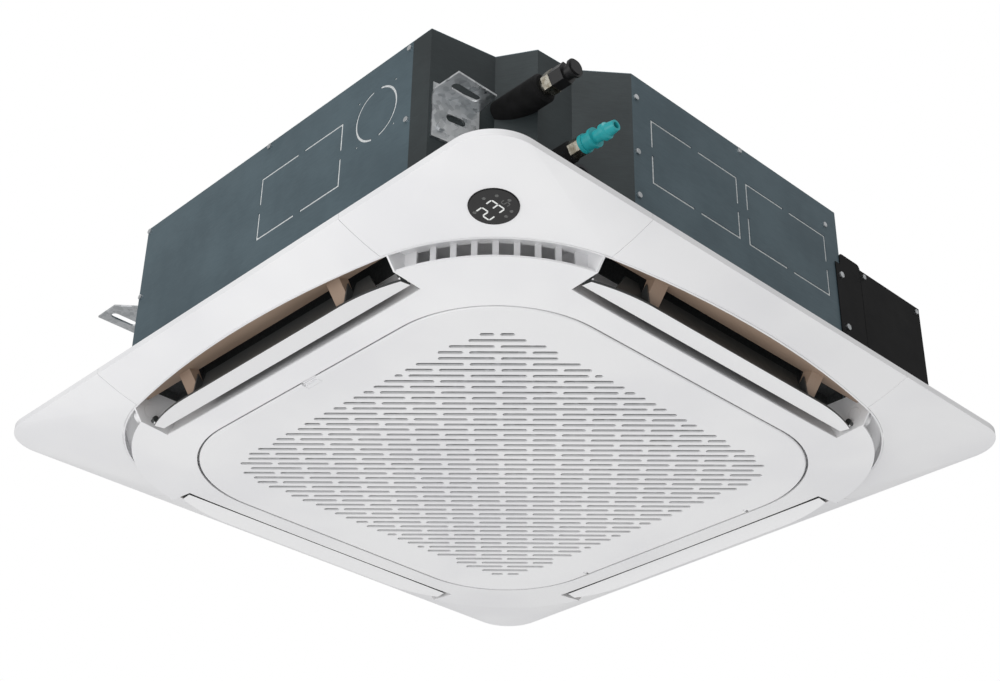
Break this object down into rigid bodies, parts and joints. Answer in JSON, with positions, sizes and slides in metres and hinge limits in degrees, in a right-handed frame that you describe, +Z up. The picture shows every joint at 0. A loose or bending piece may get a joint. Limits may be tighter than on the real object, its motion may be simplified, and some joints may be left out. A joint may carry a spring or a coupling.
{
  "type": "ceiling cassette air conditioner",
  "caption": "Square ceiling cassette unit with swinging louvres on all sides, a hinged slotted intake grille, suspension ears, pipe stubs and a fan inside.",
  "frame": {"origin": "centre of the four suspension slots, at half the thickness of the hanger ears", "axes": "+Z is up, towards the slab; the refrigerant pipes leave at the corner at -X, -Y, towards -Y; the grille hinges on its +X side"},
  "size_m": [0.95, 0.95, 0.304],
  "materials": {
    "casing_paint": "satin coated sheet steel",
    "black_sheet": "black coated sheet steel",
    "zinc_steel": "galvanised",
    "white_plastic": "fine satin moulding",
    "taupe_plastic": "satin moulding",
    "black_gloss": "polished",
    "filter_net": "woven net in a moulded frame",
    "pin_steel": "drawn wire",
    "copper_tube": "drawn copper",
    "nut_brass": "machined",
    "black_foam": "soft closed-cell",
    "teal_plastic": "moulded",
    "pale_foam": "expanded foam",
    "pan_foam": "expanded foam",
    "dark_plastic": "satin moulding",
    "coil_fins": "fin pack",
    "board_green": "coated laminate",
    "motor_metal": "coated steel can"
  },
  "bodies": {
    "casing": {"bell_mouth": "dark_plastic", "box_screws": "zinc_steel", "casing_back": "casing_paint", "casing_foam": "pale_foam", "casing_front": "casing_paint", "casing_left": "casing_paint", "casing_pipe_corner": "casing_paint", "casing_right": "casing_paint", "casing_screws": "zinc_steel", "coil_end_plates": "zinc_steel", "coil_tubes": "copper_tube", "control_board": "board_green", "corner_cover_back": "white_plastic", "corner_cover_left": "white_plastic", "corner_cover_pipe_corner": "white_plastic", "corner_cover_right": "white_plastic", "display_module": "black_gloss", "drain_pan": "pan_foam", "drain_plug": "black_foam", "drain_pump": "dark_plastic", "drain_socket": "dark_plastic", "electrical_box": "black_sheet", "electrical_box_lid": "black_sheet", "fan_motor": "motor_metal", "float_switch": "dark_plastic", "gas_flare_nut": "nut_brass", "gas_pipe": "copper_tube", "gas_pipe_cap": "black_foam", "gas_pipe_sleeve": "black_foam", "hanger_back": "zinc_steel", "hanger_bolts": "zinc_steel", "hanger_left": "zinc_steel", "hanger_pipe_corner": "zinc_steel", "hanger_right": "zinc_steel", "heat_exchanger": "coil_fins", "liquid_flare_nut": "nut_brass", "liquid_pipe": "copper_tube", "liquid_pipe_cap": "teal_plastic", "liquid_pipe_sleeve": "black_foam", "louvre_motors": "white_plastic", "motor_bolts": "zinc_steel", "motor_grommets": "black_foam", "outlet_liners": "taupe_plastic", "panel_frame": "white_plastic", "pump_bracket": "zinc_steel", "top_plate": "casing_paint"},
    "fan": {"turbo_fan": "dark_plastic", "fan_nut": "zinc_steel", "motor_shaft": "zinc_steel"},
    "louvre_right": {"louvre_right": "white_plastic"},
    "louvre_back": {"louvre_back": "white_plastic"},
    "louvre_left": {"louvre_left": "white_plastic"},
    "louvre_front": {"louvre_front": "white_plastic"},
    "grille": {"intake_grille": "white_plastic", "grille_hinge_pins": "pin_steel", "air_filter": "filter_net"},
    "latch": {"grille_latch": "white_plastic"},
    "impeller": {"pump_impeller": "dark_plastic"},
    "float": {"switch_float": "dark_plastic"}
  },
  "joints": [
    {"name": "fan_spin", "type": "hinge", "parent": "casing", "child": "fan", "pos_m": [0, 0, 0], "axis": [0, 0, 1], "continuous": true},
    {"name": "louvre_right_swing", "type": "hinge", "parent": "casing", "child": "louvre_right", "pos_m": [0.384, 0, -0.194], "axis": [0, 1, 0], "range_deg": [0, 60]},
    {"name": "louvre_back_swing", "type": "hinge", "parent": "casing", "child": "louvre_back", "pos_m": [0, 0.384, -0.194], "axis": [-1, 0, 0], "range_deg": [0, 60]},
    {"name": "louvre_left_swing", "type": "hinge", "parent": "casing", "child": "louvre_left", "pos_m": [-0.384, 0, -0.194], "axis": [0, -1, 0], "range_deg": [0, 60]},
    {"name": "louvre_front_swing", "type": "hinge", "parent": "casing", "child": "louvre_front", "pos_m": [0, -0.384, -0.194], "axis": [1, 0, 0], "range_deg": [0, 60]},
    {"name": "grille_hinge", "type": "hinge", "parent": "casing", "child": "grille", "pos_m": [0.318, 0, -0.207], "axis": [0, -1, 0], "range_deg": [0, 90]},
    {"name": "latch_slide", "type": "slide", "parent": "grille", "child": "latch", "axis": [-1, 0, 0], "range_m": [0, 0.005]},
    {"name": "impeller_spin", "type": "hinge", "parent": "casing", "child": "impeller", "pos_m": [-0.246, -0.292, -0.1], "axis": [0, 0, 1], "continuous": true},
    {"name": "float_slide", "type": "slide", "parent": "casing", "child": "float", "axis": [0, 0, 1], "range_m": [0, 0.008]}
  ]
}
